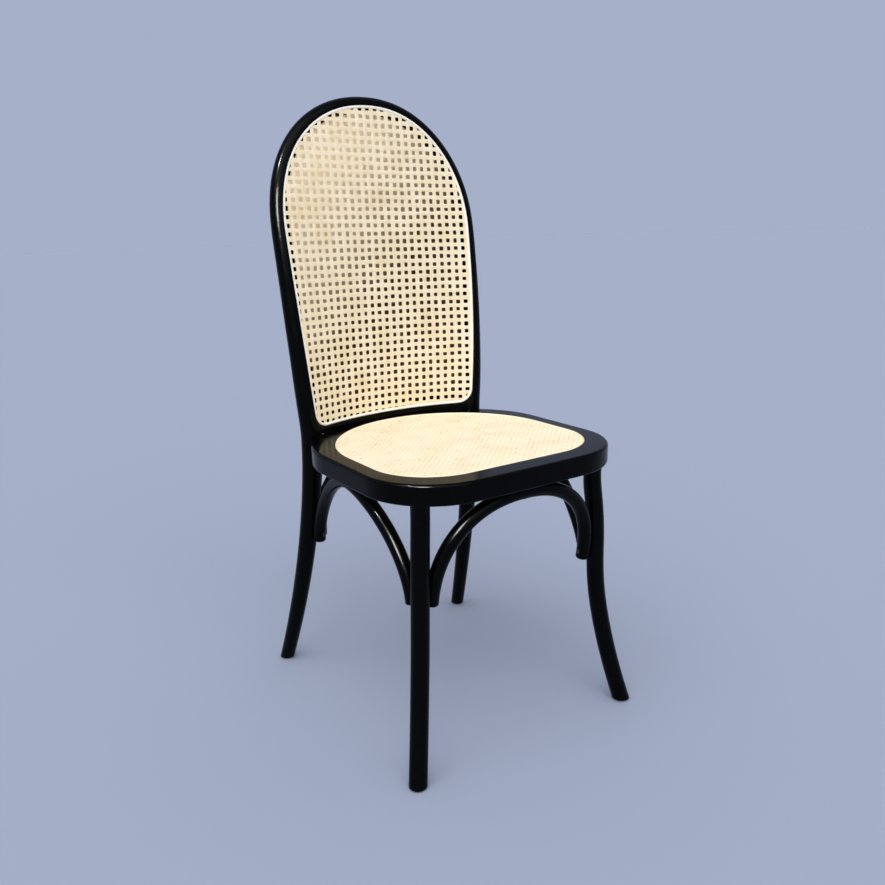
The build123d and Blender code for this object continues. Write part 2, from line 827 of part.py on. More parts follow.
pieces = {
    "back_hoop": back_hoop.part,
    "back_bottom_rail": back_bottom_rail.part,
    "back_cane_front": cane_sheets["front"],
    "back_spline_front": splines["front"],
    "back_cane_rear": cane_sheets["rear"],
    "back_spline_rear": splines["rear"],
    "seat_frame": seat_frame.part,
    "seat_cane": seat_cane.part,
    "seat_spline": seat_spline.part,
    "leg_wedges": leg_wedges.part,
    "rail_dowels": rail_dowels.part,
    "post_bolts": post_bolts.part,
    "post_washers": post_washers.part,
    "post_inserts": post_inserts.part,
    "brace_leg_screws": brace_leg_screws.part,
    "brace_seat_screws": brace_seat_screws.part,
    "glide_nails": glide_nails.part,
}
pieces.update(front_legs)
pieces.update(braces)
pieces.update(glides)
for name, piece in pieces.items():
    export_step(piece, f"parts/{name}.step")
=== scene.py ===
"""Bentwood dining chair with a caned seat and back: the looks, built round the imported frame."""

import json
import math

import bpy
import numpy as np
from bpy.props import FloatProperty, FloatVectorProperty, IntProperty, PointerProperty
from mathutils import Matrix, Vector

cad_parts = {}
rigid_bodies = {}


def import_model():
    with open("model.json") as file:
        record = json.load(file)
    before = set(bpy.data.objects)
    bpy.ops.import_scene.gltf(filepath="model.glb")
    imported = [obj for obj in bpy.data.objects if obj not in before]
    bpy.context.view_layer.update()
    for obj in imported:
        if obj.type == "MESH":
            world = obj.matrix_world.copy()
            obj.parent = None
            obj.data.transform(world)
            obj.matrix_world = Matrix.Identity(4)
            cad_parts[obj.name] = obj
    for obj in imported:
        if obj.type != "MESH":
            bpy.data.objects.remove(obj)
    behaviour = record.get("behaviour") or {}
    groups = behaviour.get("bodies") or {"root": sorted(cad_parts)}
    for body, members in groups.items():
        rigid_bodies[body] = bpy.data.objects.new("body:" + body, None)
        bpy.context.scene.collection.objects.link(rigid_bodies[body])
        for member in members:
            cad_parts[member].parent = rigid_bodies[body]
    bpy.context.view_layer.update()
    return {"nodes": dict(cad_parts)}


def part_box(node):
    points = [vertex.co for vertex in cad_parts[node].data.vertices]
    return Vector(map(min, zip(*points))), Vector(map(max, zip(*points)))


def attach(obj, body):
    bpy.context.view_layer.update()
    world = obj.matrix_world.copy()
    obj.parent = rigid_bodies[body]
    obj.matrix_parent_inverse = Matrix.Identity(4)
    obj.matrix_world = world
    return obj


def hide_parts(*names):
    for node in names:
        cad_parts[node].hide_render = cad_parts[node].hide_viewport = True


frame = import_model()

bl_info = {
    "name": "Bentwood Dining Chair",
    "version": (1, 0, 0),
    "blender": (4, 5, 0),
    "location": "View3D > Sidebar > Chair",
    "description": "Canes, lacquers and lights a bentwood dining chair",
    "category": "Object",
}

MM = 0.001
X, Y, Z = 0, 1, 2
FRONT, REAR, UP = -1, 1, 1
WEAVE_MAP = "Weave"
MATH = "ShaderNodeMath"
MIX = "ShaderNodeMix"
MIXED_COLOUR = 2


def linear(hex_code):
    """Turns an sRGB hex colour into linear red, green, blue and alpha."""
    channels = [int(hex_code[at : at + 2], 16) / 255 for at in (0, 2, 4)]
    curved = (c / 12.92 if c <= 0.04045 else ((c + 0.055) / 1.055) ** 2.4 for c in channels)
    return (*curved, 1.0)


# ---------------------------------------------------------------- settings


class CHAIR_PG_wood(bpy.types.PropertyGroup):
    """Finish of the bent beech and of the small parts in it."""

    lacquer: FloatVectorProperty(
        name="Lacquer", description="Black of the sprayed lacquer",
        size=4, subtype="COLOR", min=0, max=1, default=linear("030303"),
    )
    lacquer_worn: FloatVectorProperty(
        name="Lacquer, thin", description="Black where the lacquer lies thin over the pores",
        size=4, subtype="COLOR", min=0, max=1, default=linear("080807"),
    )
    lacquer_roughness: FloatProperty(
        name="Lacquer roughness", description="Satin sheen of the lacquer",
        min=0, max=1, default=0.17,
    )
    pore_length: FloatProperty(
        name="Pore length", description="Length of the beech pores that show under the lacquer",
        unit="LENGTH", subtype="DISTANCE", default=9 * MM,
    )
    orange_peel: FloatProperty(
        name="Orange peel", description="Spacing of the sprayed lacquer's soft unevenness",
        unit="LENGTH", subtype="DISTANCE", default=2.2 * MM,
    )


class CHAIR_PG_cane(bpy.types.PropertyGroup):
    """Sizes and colours of the woven cane and its reed splines."""

    mesh_across: FloatProperty(
        name="Mesh across", description="Width of one mesh of the back's open weave",
        unit="LENGTH", subtype="DISTANCE", default=14.08 * MM,
    )
    mesh_up: FloatProperty(
        name="Mesh up", description="Height of one mesh of the back's open weave",
        unit="LENGTH", subtype="DISTANCE", default=13.34 * MM,
    )
    mesh_shift: FloatProperty(
        name="Mesh shift", default=0.72,
        description="Where a column of holes stands, as a share of a mesh from the middle",
    )
    mesh_foot: FloatProperty(
        name="Mesh foot", description="Height from which the rows of meshes are counted",
        unit="LENGTH", subtype="DISTANCE", default=461.6 * MM,
    )
    mesh_turn: FloatProperty(
        name="Mesh turn", description="How far the webbing was laid out of true",
        unit="ROTATION", subtype="ANGLE", default=math.radians(-1.51),
    )
    hole_unevenness: FloatProperty(
        name="Hole unevenness", description="How much the sides of the holes wander",
        unit="LENGTH", subtype="DISTANCE", default=0.42 * MM,
    )
    hole_room: FloatProperty(
        name="Hole room", description="How far a hole's sides stand back from its even share",
        unit="LENGTH", subtype="DISTANCE", default=0.55 * MM,
    )
    over_under: FloatProperty(
        name="Over and under", description="Height of a band where it crosses over another",
        unit="LENGTH", subtype="DISTANCE", default=0.45 * MM,
    )
    close_pitch: FloatProperty(
        name="Close weave strand", description="Width of one strand of the close weave",
        unit="LENGTH", subtype="DISTANCE", default=2.7 * MM,
    )
    close_relief: FloatProperty(
        name="Close weave ribs", description="Height of the close weave's diagonal ribs",
        unit="LENGTH", subtype="DISTANCE", default=0.35 * MM,
    )
    webbing: FloatVectorProperty(
        name="Webbing", description="Colour of the back's webbing",
        size=4, subtype="COLOR", min=0, max=1, default=linear("F9EBD0"),
    )
    # Dark end of the webbing's colour: its darker strands, blotches and flecks, and the painted
    # shade in the grooves between strands. The reeds' fibres use it too.
    webbing_dark_and_shade: FloatVectorProperty(
        name="Webbing, dark", description="Colour of the darker strands of the webbing",
        size=4, subtype="COLOR", min=0, max=1, default=linear("E8D2A4"),
    )
    close_light: FloatVectorProperty(
        name="Close weave", description="Colour of the close weave",
        size=4, subtype="COLOR", min=0, max=1, default=linear("FCF3DC"),
    )
    # Dark end of the close weave's colour: its darker strands, blotches and specks, and the painted
    # shade between its ribs and in its grooves.
    close_dark_and_shade: FloatVectorProperty(
        name="Close weave, dark", description="Colour between the ribs of the close weave",
        size=4, subtype="COLOR", min=0, max=1, default=linear("E0CB9E"),
    )
    # Painted shade: the darkest colour painted on the rear sheet's inner side, low on the right.
    inner_painted_shade: FloatVectorProperty(
        name="Inner side, dark", description="Darkest colour of the rear sheet's inner side",
        size=4, subtype="COLOR", min=0, max=1, default=linear("5C421F"),
    )
    # Painted light: how strongly the rear sheet's inner side shines as emission high on the left,
    # in place of light that comes through the cane.
    painted_glow: FloatProperty(
        name="Light through the cane", min=0, default=0.3,
        description="Light that comes through the rear sheet high on the left",
    )
    reed: FloatVectorProperty(
        name="Reed", description="Colour of the splines that hold the back's cane",
        size=4, subtype="COLOR", min=0, max=1, default=linear("FFFBF2"),
    )
    seat_reed: FloatVectorProperty(
        name="Seat reed", description="Colour of the spline that holds the seat's cane",
        size=4, subtype="COLOR", min=0, max=1, default=linear("F6E9CC"),
    )


class CHAIR_PG_stage(bpy.types.PropertyGroup):
    """Backdrop, lamps and camera."""

    backdrop: FloatVectorProperty(
        name="Backdrop", description="Colour of the floor and the backdrop",
        size=4, subtype="COLOR", min=0, max=1, default=linear("A6B0C9"),
    )
    sky: FloatProperty(
        name="Sky", description="Soft light from all sides", min=0, default=0.72,
    )
    key: FloatProperty(
        name="Key", description="Strength of the main lamp, high on the left", min=0, default=1.1,
    )
    fill: FloatProperty(
        name="Fill", description="Strength of the soft lamp in front", min=0, default=0.9,
    )
    gloss: FloatProperty(
        name="Gloss", description="Strength of the small lamp that draws lights along the rods",
        min=0, default=4.5,
    )
    panel: FloatProperty(
        name="Panel", description="Power of the panel that draws lights along the rods",
        min=0, default=300,
    )
    focal_length: FloatProperty(
        name="Focal length", description="Focal length of the camera",
        unit="CAMERA", default=34.79,
    )


# ---------------------------------------------------------------- the back's own surface

# These follow the values of the part's source, in metres.
SEAT_HEIGHT = 460 * MM
HOOP_TOP = 988 * MM
SEAT_Y = -47.74 * MM
BACK_MID_REACH = 220.4 * MM
BACK_LEAN = 25.7 * MM
BACK_PLAN_RADIUS = 364 * MM
ROD_STATIONS = (
    (0.0, 13 * MM), (SEAT_HEIGHT, 18 * MM), (790 * MM, 14.9 * MM), (HOOP_TOP, 13.2 * MM),
)
LEAN_POWER = 2.5
FLATTENING_POWER = 1.3
LEAST_BEND = 0.02
CANE_SUNK = 1.2 * MM

# The open webbing: its meshes, how far the sides of its holes may stray, and the height above
# its foot about which it is turned. Its bands keep the first share of their relief all along.
MESH_COLUMNS, MESH_ROWS = 27, 40
HOLE_SEED, HOLE_SIDES = 11, 4
FARTHEST_WANDER = 0.9 * MM
BLUNT_CORNER = 0.3 * MM
TURN_HEIGHT = 250 * MM
LEVEL_SHARE, CROSSING_SHARE = 0.6, 0.4
# The close weave repeats every four strands. Each strand's own swell is a quarter of a rib's.
TWILL_REPEAT = 4.0
SWELL_SHARE = 0.25
REAR_SHEET_STEP, SEAT_SHEET_STEP = 2.05 * MM, 2 * MM
INNER_NORMAL = -0.2
# How far the sheets run under their splines and lie below the CAD sheets' faces, and how thick
# they are.
BACK_TUCK, SEAT_TUCK = 2.4 * MM, 2.2 * MM
WEBBING_SUNK, REAR_SHEET_SUNK = 0.6 * MM, 0.4 * MM
WEBBING_THICKNESS, REAR_THICKNESS, SEAT_THICKNESS = 1.1 * MM, 1.2 * MM, 1.4 * MM
# The reeds follow points this far apart along the rims of the CAD splines' faces, and their
# middles lie a share of their radius below those faces.
OUTER_STEP, INNER_STEP = 3 * MM, 1 * MM
REED_SUNK = 0.55


def back_rise(height):
    """Height above the seat as a share of the back's height."""
    return np.maximum(height - SEAT_HEIGHT, 0) / (HOOP_TOP - SEAT_HEIGHT)


def back_radius(height):
    """Plan radius of the back at a height; it flattens towards the top."""
    return BACK_PLAN_RADIUS / np.maximum(1 - back_rise(height) ** FLATTENING_POWER, LEAST_BEND)


def rod_radius(height):
    """Radius of the hoop's tapered rod at a height."""
    heights, radii = zip(*ROD_STATIONS)
    return np.interp(height, heights, radii)


def back_face(across, height, side):
    """Point of the back's cane face on one side, FRONT or REAR."""
    radius = back_radius(height)
    x = radius * np.sin(across / radius)
    middle = SEAT_Y + BACK_MID_REACH + BACK_LEAN * back_rise(height) ** LEAN_POWER
    y = middle - radius + np.sqrt(radius**2 - x**2)
    return x, y + side * (rod_radius(height) - CANE_SUNK)


# ---------------------------------------------------------------- modelling helpers

MERGE_DISTANCE = 1e-6
SMOOTH_BELOW = math.radians(50)
LOOKS_THAT_WAY = 0.35


def deselect():
    """Leaves nothing selected."""
    bpy.ops.object.select_all(action="DESELECT")


def pick(piece):
    """Selects one piece alone."""
    deselect()
    piece.select_set(True)
    bpy.context.view_layer.objects.active = piece


def add_object(name, data):
    """Puts a curve, lamp or camera into the scene."""
    holder = bpy.data.objects.new(name, data)
    bpy.context.scene.collection.objects.link(holder)
    return holder


def grid_piece(name, columns, rows):
    """Adds a flat grid and returns it with each vertex's column and row."""
    deselect()
    bpy.ops.mesh.primitive_grid_add(x_subdivisions=columns, y_subdivisions=rows, size=1)
    piece = bpy.context.active_object
    piece.name = name
    piece.data.name = name
    if len(piece.data.vertices) != (columns + 1) * (rows + 1):
        raise RuntimeError("the grid has an unexpected number of vertices")
    places = np.empty(len(piece.data.vertices) * 3)
    piece.data.vertices.foreach_get("co", places)
    shares = places.reshape(-1, 3) + 0.5
    return piece, np.rint(shares[:, X] * columns), np.rint(shares[:, Y] * rows)


def move_points(piece, places):
    """Puts the vertices of a piece at these places."""
    piece.data.vertices.foreach_set("co", np.asarray(places, float).ravel())
    piece.data.update()


def corners_of(piece):
    """The vertex at each corner of each face."""
    corners = np.empty(len(piece.data.loops), int)
    piece.data.loops.foreach_get("vertex_index", corners)
    return corners


def face_means(piece, values):
    """Mean over each four-cornered face of a value that every vertex has."""
    return values[corners_of(piece)].reshape(-1, 4).mean(axis=1)


def delete_faces(piece, chosen):
    """Deletes the chosen faces and the vertices that only they used."""
    pick(piece)
    mesh = piece.data
    mesh.vertices.foreach_set("select", np.zeros(len(mesh.vertices), bool))
    mesh.edges.foreach_set("select", np.zeros(len(mesh.edges), bool))
    mesh.polygons.foreach_set("select", chosen)
    bpy.context.tool_settings.mesh_select_mode = (False, False, True)
    bpy.ops.object.mode_set(mode="EDIT")
    bpy.ops.mesh.delete(type="FACE")
    bpy.ops.object.mode_set(mode="OBJECT")


def write_weave_map(piece, across, up):
    """Gives each vertex its place in the weave, counted in strands, as a UV map."""
    layers = piece.data.uv_layers
    while layers:
        layers.remove(layers[0])
    corners = corners_of(piece)
    places = np.column_stack((across[corners], up[corners]))
    layers.new(name=WEAVE_MAP).data.foreach_set("uv", places.ravel())


def thicken(piece, thickness):
    """Gives a sheet its thickness, behind its face."""
    pick(piece)
    wall = piece.modifiers.new("Thickness", "SOLIDIFY")
    wall.thickness = thickness
    wall.offset = -1
    bpy.ops.object.modifier_apply(modifier=wall.name)
    bpy.ops.object.shade_smooth_by_angle(angle=SMOOTH_BELOW)


def merge_doubles():
    """Opens the picked piece in edit mode and merges the vertices that lie on each other."""
    bpy.ops.object.mode_set(mode="EDIT")
    bpy.ops.mesh.select_all(action="SELECT")
    bpy.ops.mesh.remove_doubles(threshold=MERGE_DISTANCE)


def rims_of(node, axis, side):
    """Closed rims, longest first, of a CAD solid's face that looks to one side of an axis."""
    source = frame["nodes"][node]
    deselect()
    copy = source.copy()
    copy.data = source.data.copy()
    bpy.context.scene.collection.objects.link(copy)
    pick(copy)
    merge_doubles()
    bpy.ops.object.mode_set(mode="OBJECT")
    mesh = copy.data
    faces_at = {}
    for face in mesh.polygons:
        for key in face.edge_keys:
            faces_at.setdefault(key, []).append(face.normal[axis] * side > LOOKS_THAT_WAY)
    links = {}
    for (first, second), looks in faces_at.items():
        if len(looks) == 2 and looks[0] != looks[1]:
            links.setdefault(first, []).append(second)
            links.setdefault(second, []).append(first)
    rims = []
    left = set(links)
    while left:
        start = left.pop()
        rim, ahead = [start], links[start][0]
        while ahead != start:
            rim.append(ahead)
            left.discard(ahead)
            ahead = next(vertex for vertex in links[ahead] if vertex != rim[-2])
        rims.append(np.array([mesh.vertices[vertex].co[:] for vertex in rim]))
    bpy.data.objects.remove(copy)
    bpy.data.meshes.remove(mesh)
    return sorted(rims, key=lambda rim: -np.ptp(rim, axis=0).sum())


def grow(loop, distance):
    """Moves a closed flat line outwards by a distance."""
    ahead, behind = np.roll(loop, -1, axis=0), np.roll(loop, 1, axis=0)
    along = ahead - behind
    along /= np.linalg.norm(along, axis=1)[:, None]
    outward = np.column_stack((along[:, 1], -along[:, 0]))
    area = 0.5 * np.sum(loop[:, 0] * ahead[:, 1] - ahead[:, 0] * loop[:, 1])
    return loop + math.copysign(distance, area) * outward


def inside(loop, first, second):
    """Which points lie within a closed line; loop holds the same two coordinates."""
    hits = np.zeros(len(first), bool)
    for (a, b), (c, d) in zip(loop, np.roll(loop, -1, axis=0)):
        if b != d:
            crosses = (b > second) != (d > second)
            hits ^= crosses & (first < (c - a) * (second - b) / (d - b) + a)
    return hits


def beyond_rim(piece, places, node, axis, side, tuck):
    """Which faces of a sheet lie past its CAD node's rim and the tuck under its spline."""
    flat = [way for way in (X, Y, Z) if way != axis]
    rim = grow(rims_of(node, axis, side)[0][:, flat], tuck)
    return ~inside(rim, *(face_means(piece, places[:, way]) for way in flat))


def even_loop(points, spacing):
    """Puts points at even steps along a closed line."""
    closed = np.vstack((points, points[:1]))
    strides = np.linalg.norm(np.diff(closed, axis=0), axis=1)
    lengths = np.concatenate(([0], np.cumsum(strides)))
    steps = np.linspace(0, lengths[-1], int(lengths[-1] / spacing) + 1)[:-1]
    return np.column_stack([np.interp(steps, lengths, closed[:, way]) for way in (X, Y, Z)])


def bead(name, path, radius):
    """Adds a round reed along a closed path."""
    curve = bpy.data.curves.new(name, "CURVE")
    curve.dimensions = "3D"
    curve.bevel_depth = radius
    curve.bevel_resolution = 3
    line = curve.splines.new("POLY")
    line.points.add(len(path) - 1)
    for point, place in zip(line.points, path):
        point.co = (*place, 1)
    line.use_cyclic_u = True
    piece = add_object(name, curve)
    pick(piece)
    bpy.ops.object.convert(target="MESH")
    merge_doubles()
    bpy.ops.mesh.normals_make_consistent(inside=False)
    bpy.ops.object.mode_set(mode="OBJECT")
    bpy.ops.object.shade_smooth()
    return piece


def dress(piece, material, node):
    """Gives a finished piece its material, and puts it in its CAD node's place."""
    piece.data.materials.clear()
    piece.data.materials.append(material)
    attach(piece, "root")
    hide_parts(node)


def finish_nodes(names, material):
    """Gives CAD nodes a material and leaves their shape alone."""
    for name in names:
        node = frame["nodes"][name]
        for holder in [node] + list(node.children_recursive):
            if holder.type == "MESH":
                for slot in holder.material_slots:
                    slot.material = material


# ---------------------------------------------------------------- materials


def add_node(tree, kind, settings=None):
    """Adds a shader node with its settings: properties, values of inputs, and what feeds them.

    A node that feeds an input stands for its first output.
    """
    node = tree.nodes.new(kind)
    for key, value in (settings or {}).items():
        if isinstance(value, bpy.types.Node):
            value = value.outputs[0]
        if isinstance(value, bpy.types.NodeSocket):
            tree.links.new(value, node.inputs[key])
        elif isinstance(key, int) or key in node.inputs:
            node.inputs[key].default_value = value
        else:
            setattr(node, key, value)
    return node


def new_material(name, values):
    """Starts a material and returns it with its node tree and its shader."""
    material = bpy.data.materials.new(name)
    material.use_nodes = True
    tree = material.node_tree
    tree.nodes.clear()
    shader = add_node(tree, "ShaderNodeBsdfPrincipled", values)
    add_node(tree, "ShaderNodeOutputMaterial", {"Surface": shader})
    return material, tree, shader


def coat(tree, shader, share, light, dark, skin, clamp=True):
    """Colours a surface from light to dark by a share, and gives it the bumps of its skin."""
    shade = add_node(
        tree, MIX, {"data_type": "RGBA", "clamp_factor": clamp, 0: share, 6: light, 7: dark},
    )
    tree.links.new(shade.outputs[MIXED_COLOUR], shader.inputs["Base Color"])
    tree.links.new(skin.outputs["Normal"], shader.inputs["Normal"])


def spots(tree, noise, start, full):
    """Marks the spots of a noise: nothing below start, and all from full on."""
    field = add_node(tree, "ShaderNodeTexNoise", noise)
    return add_node(
        tree, "ShaderNodeMapRange",
        {"From Min": start, "From Max": full, "Value": field.outputs["Fac"]},
    )


def lacquered_beech():
    """Steam-bent beech, sanded and sprayed with black satin lacquer.

    The eye gets a near-black body, a soft broad sheen, a faint orange peel, and here and there a
    fine pore along the grain. The pores are drawn longer than real ones, so that they show. The
    sheen drifts over about 70 mm.
    """
    wood = bpy.context.scene.chair_wood
    pore_slimness, grain_run, sheen = 7, (1.0, 1.0, 0.12), wood.lacquer_roughness
    material, tree, shader = new_material(
        "Black satin lacquer on beech", {"IOR": 1.5, "Specular IOR Level": 0.06, "Metallic": 0.0},
    )
    place = add_node(tree, "ShaderNodeTexCoord").outputs["Object"]
    along = add_node(tree, "ShaderNodeMapping", {"Scale": grain_run, "Vector": place})
    thin = spots(tree, {
        "Scale": 1 / wood.pore_length * pore_slimness, "Detail": 3.0, "Roughness": 0.6,
        "Vector": along,
    }, 0.52, 0.75)
    peel = add_node(
        tree, "ShaderNodeTexNoise",
        {"Scale": 1 / wood.orange_peel, "Detail": 1.0, "Vector": place},
    )
    cloud = add_node(
        tree, "ShaderNodeTexNoise", {"Scale": 14.0, "Detail": 3.0, "Vector": place},
    )
    rough = add_node(tree, "ShaderNodeMapRange", {
        "From Min": 0.3, "From Max": 0.7, "To Min": sheen - 0.04, "To Max": sheen + 0.05,
        "Value": cloud.outputs["Fac"],
    })
    tree.links.new(rough.outputs["Result"], shader.inputs["Roughness"])
    grain = add_node(
        tree, "ShaderNodeBump",
        {"Strength": 0.05, "Distance": 0.2 * MM, "invert": True, "Height": thin},
    )
    skin = add_node(tree, "ShaderNodeBump", {
        "Strength": 0.03, "Distance": 0.2 * MM, "Height": peel.outputs["Fac"], "Normal": grain,
    })
    coat(tree, shader, thin, wood.lacquer, wood.lacquer_worn, skin)
    return material


def strand_marks(tree, across, up, upright, sharpness, apart):
    """Groove beside each strand and a chance tint of its own; upright picks those that run up."""
    strand = add_node(tree, MIX, {"data_type": "FLOAT", 0: upright, 2: up, 3: across})
    number = add_node(tree, MATH, {"operation": "FLOOR", 0: strand})
    # The strands that run up get numbers, and so tints, far from those that run across.
    offset = add_node(tree, MATH, {"operation": "MULTIPLY", 0: upright, 1: apart})
    number = add_node(tree, MATH, {"operation": "ADD", 0: number, 1: offset})
    tint = add_node(tree, "ShaderNodeTexWhiteNoise", {"noise_dimensions": "1D", "W": number})
    # The groove's mark darkens the colour beside each strand: painted shade in the recess.
    width = add_node(tree, MATH, {"operation": "FRACT", 0: strand})
    width = add_node(tree, MATH, {"operation": "MULTIPLY", 0: width, 1: 2.0})
    width = add_node(tree, MATH, {"operation": "SUBTRACT", 0: width, 1: 1.0})
    edge = add_node(tree, MATH, {"operation": "ABSOLUTE", 0: width})
    groove = add_node(tree, MATH, {"operation": "POWER", 0: edge, 1: sharpness})
    return groove, tint.outputs["Value"]


def cane_coat(tree, shader, groove, depth, marks, light, dark, clamp=True):
    """Darkens bare cane by the weight of each mark on it, and sinks its grooves."""
    # Some marks, those of the grooves and of the valleys between ribs, are painted shade. The
    # others are the cane's own tone.
    darkness = 0.0
    for mark, weight in marks:
        darkness = add_node(
            tree, MATH, {"operation": "MULTIPLY_ADD", 0: mark, 1: weight, 2: darkness},
        )
    skin = add_node(
        tree, "ShaderNodeBump",
        {"Strength": 0.5, "Distance": depth, "invert": True, "Height": groove},
    )
    coat(tree, shader, darkness, light, dark, skin, clamp)


def open_webbing(band, mesh):
    """Open square webbing of split cane, a few fine strands to a band, bleached and left bare.

    The eye gets pale straw with strands that differ a little, a faint line of painted shade in the
    groove between strands, and a dry satin surface. The blotches and flecks come from noises of
    36 mm and 2.4 mm. The weave's map counts strand widths: a mesh is a band and a hole.
    """
    cane = bpy.context.scene.chair_cane
    material, tree, shader = new_material(
        "Open woven cane", {"Roughness": 0.68, "IOR": 1.5, "Specular IOR Level": 0.12},
    )
    place = add_node(tree, "ShaderNodeTexCoord").outputs["Object"]
    weave = add_node(tree, "ShaderNodeUVMap", {"uv_map": WEAVE_MAP})
    counts = add_node(tree, "ShaderNodeSeparateXYZ", {"Vector": weave}).outputs
    in_band, numbers = [], []
    for count in (counts["X"], counts["Y"]):
        local = add_node(tree, MATH, {"operation": "FLOORED_MODULO", 0: count, 1: mesh})
        in_band.append(add_node(tree, MATH, {"operation": "LESS_THAN", 0: local, 1: band}))
        meshes = add_node(tree, MATH, {"operation": "DIVIDE", 0: count, 1: mesh})
        numbers.append(add_node(tree, MATH, {"operation": "FLOOR", 0: meshes}))
    # A column shows between the rows, and on top of every other row that it crosses.
    both = add_node(tree, MATH, {"operation": "ADD", 0: numbers[0], 1: numbers[1]})
    odd = add_node(tree, MATH, {"operation": "FLOORED_MODULO", 0: both, 1: 2.0})
    even = add_node(tree, MATH, {"operation": "LESS_THAN", 0: odd, 1: 0.5})
    between = add_node(tree, MATH, {"operation": "SUBTRACT", 0: 1.0, 1: in_band[1]})
    shows = add_node(tree, MATH, {"operation": "MAXIMUM", 0: between, 1: even})
    upright = add_node(tree, MATH, {"operation": "MULTIPLY", 0: in_band[0], 1: shows})
    groove, tint = strand_marks(tree, counts["X"], counts["Y"], upright, 6.0, 271.0)
    blotches = spots(
        tree, {"Scale": 28.0, "Detail": 3.0, "Roughness": 0.6, "Vector": place}, 0.42, 0.72,
    )
    flecks = spots(tree, {"Scale": 420.0, "Detail": 2.0, "Vector": place}, 0.62, 0.8)
    # The groove's darkening is painted shade. The tint, blotches and flecks are the cane's own
    # tone.
    marks = ((tint, 0.32), (groove, 0.35), (blotches, 0.45), (flecks, 0.5))
    cane_coat(tree, shader, groove, 0.4 * MM, marks, cane.webbing, cane.webbing_dark_and_shade)
    return material


def close_weave():
    """Close twill of split cane, two over and two under, bleached and left bare.

    The eye gets cream strands in diagonal ribs, painted shade between the ribs and in the grooves
    beside the strands, and a few dark specks at the strands' nodes. The blotches and specks come
    from noises of 45 mm and 5 mm. The weave's map counts strands.
    """
    cane = bpy.context.scene.chair_cane
    material, tree, shader = new_material(
        "Close woven cane", {"Roughness": 0.66, "IOR": 1.5, "Specular IOR Level": 0.12},
    )
    place = add_node(tree, "ShaderNodeTexCoord").outputs["Object"]
    weave = add_node(tree, "ShaderNodeUVMap", {"uv_map": WEAVE_MAP})
    counts = add_node(tree, "ShaderNodeSeparateXYZ", {"Vector": weave}).outputs
    # A strand is on top for two crossings and below for the next two.
    column = add_node(tree, MATH, {"operation": "FLOOR", 0: counts["X"]})
    row = add_node(tree, MATH, {"operation": "FLOOR", 0: counts["Y"]})
    step = add_node(tree, MATH, {"operation": "SUBTRACT", 0: row, 1: column})
    step = add_node(tree, MATH, {"operation": "FLOORED_MODULO", 0: step, 1: TWILL_REPEAT})
    upright = add_node(tree, MATH, {"operation": "LESS_THAN", 0: step, 1: TWILL_REPEAT / 2})
    groove, tint = strand_marks(tree, counts["X"], counts["Y"], upright, 4.0, 613.0)
    slant = add_node(tree, MATH, {"operation": "SUBTRACT", 0: counts["Y"], 1: counts["X"]})
    turns = add_node(tree, MATH, {"operation": "DIVIDE", 0: slant, 1: TWILL_REPEAT})
    turns = add_node(tree, MATH, {"operation": "MULTIPLY", 0: turns, 1: 2 * math.pi})
    rib = add_node(tree, MATH, {"operation": "COSINE", 0: turns})
    # Painted shade: the valleys between the raised ribs are darkened in colour.
    valley_shade = add_node(
        tree, "ShaderNodeMapRange", {"From Min": -0.2, "From Max": -1.0, "Value": rib},
    )
    blotches = spots(
        tree, {"Scale": 22.0, "Detail": 3.0, "Roughness": 0.6, "Vector": place}, 0.45, 0.75,
    )
    specks = spots(tree, {"Scale": 190.0, "Detail": 1.0, "Vector": place}, 0.69, 0.78)
    # The marks of the grooves and of the valleys between ribs are painted shade. The tint, blotches
    # and specks are the cane's own tone.
    marks = ((tint, 0.22), (groove, 0.3), (valley_shade, 0.38), (blotches, 0.35), (specks, 1.6))
    # A speck is darker than the darkest strand, so the mix runs on past its second colour.
    cane_coat(
        tree, shader, groove, 0.5 * MM, marks, cane.close_light, cane.close_dark_and_shade, clamp=False,
    )
    return material


